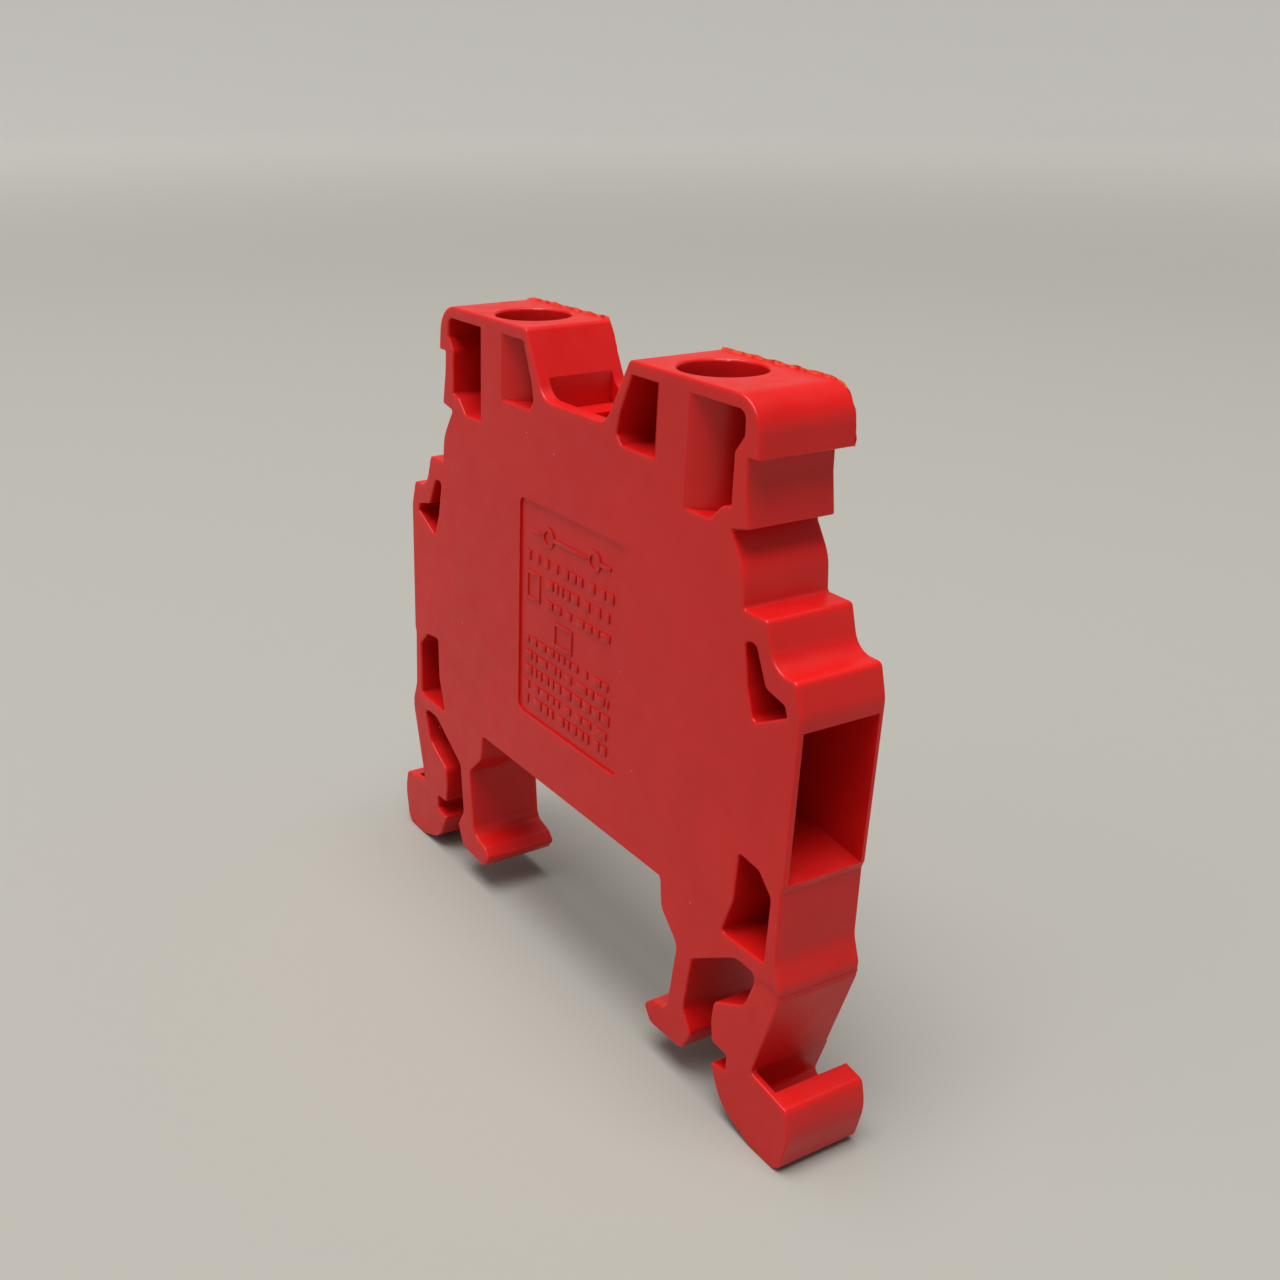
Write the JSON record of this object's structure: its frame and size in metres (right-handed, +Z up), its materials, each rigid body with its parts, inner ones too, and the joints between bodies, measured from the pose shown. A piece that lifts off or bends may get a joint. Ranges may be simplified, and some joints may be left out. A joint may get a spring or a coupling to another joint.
{
  "type": "din rail terminal block",
  "caption": "Slim feed-through terminal block for a hat rail: moulded housing with flexing rail feet, screw towers, and a bar joining a screw-drawn clamp at each wire entry.",
  "frame": {"origin": "under the middle of the block, at the height of the undersides of the rail feet", "axes": "X along the block from one wire entry to the other, Y along the rail with the closed label side at -Y, Z up, away from the rail"},
  "size_m": [0.0466, 0.006, 0.0419],
  "materials": {
    "polyamide": "satin moulded red polyamide",
    "tinned_brass": "tinned copper alloy",
    "zinc_plated_steel": "bright zinc plating",
    "plated_screw_steel": "zinc-plated, turned"
  },
  "bodies": {
    "housing": {"housing": "polyamide", "current_bar": "tinned_brass"},
    "rail_foot_left": {"rail_foot_left": "polyamide"},
    "clamp_screw_left": {"clamp_screw_left": "plated_screw_steel"},
    "clamp_cage_left": {"clamp_cage_left": "zinc_plated_steel"},
    "rail_foot_right": {"rail_foot_right": "polyamide"},
    "clamp_screw_right": {"clamp_screw_right": "plated_screw_steel"},
    "clamp_cage_right": {"clamp_cage_right": "zinc_plated_steel"}
  },
  "joints": [
    {"name": "rail_foot_left_flex", "type": "hinge", "parent": "housing", "child": "rail_foot_left", "pos_m": [-0.02055, 0, 0.0097], "axis": [0, 1, 0], "range_deg": [0, 8], "stiffness_Nm_per_rad": 0.2},
    {"name": "clamp_screw_left_turn", "type": "hinge", "parent": "housing", "child": "clamp_screw_left", "pos_m": [-0.0095, 0, 0.0325], "axis": [0, 0, 1], "range_deg": [0, 2160.01]},
    {"name": "clamp_cage_left_rise", "type": "slide", "parent": "housing", "child": "clamp_cage_left", "axis": [0, 0, 1], "range_m": [0, 0.003]},
    {"name": "rail_foot_right_flex", "type": "hinge", "parent": "housing", "child": "rail_foot_right", "pos_m": [0.02055, 0, 0.0097], "axis": [0, -1, 0], "range_deg": [0, 8], "stiffness_Nm_per_rad": 0.2},
    {"name": "clamp_screw_right_turn", "type": "hinge", "parent": "housing", "child": "clamp_screw_right", "pos_m": [0.0095, 0, 0.0325], "axis": [0, 0, 1], "range_deg": [0, 2160.01]},
    {"name": "clamp_cage_right_rise", "type": "slide", "parent": "housing", "child": "clamp_cage_right", "axis": [0, 0, 1], "range_m": [0, 0.003]}
  ],
  "couplings": [
    {"joint": "clamp_screw_left_turn", "follows": "clamp_cage_left_rise", "rad_per_m": 12566},
    {"joint": "clamp_screw_right_turn", "follows": "clamp_cage_right_rise", "rad_per_m": 12566}
  ]
}
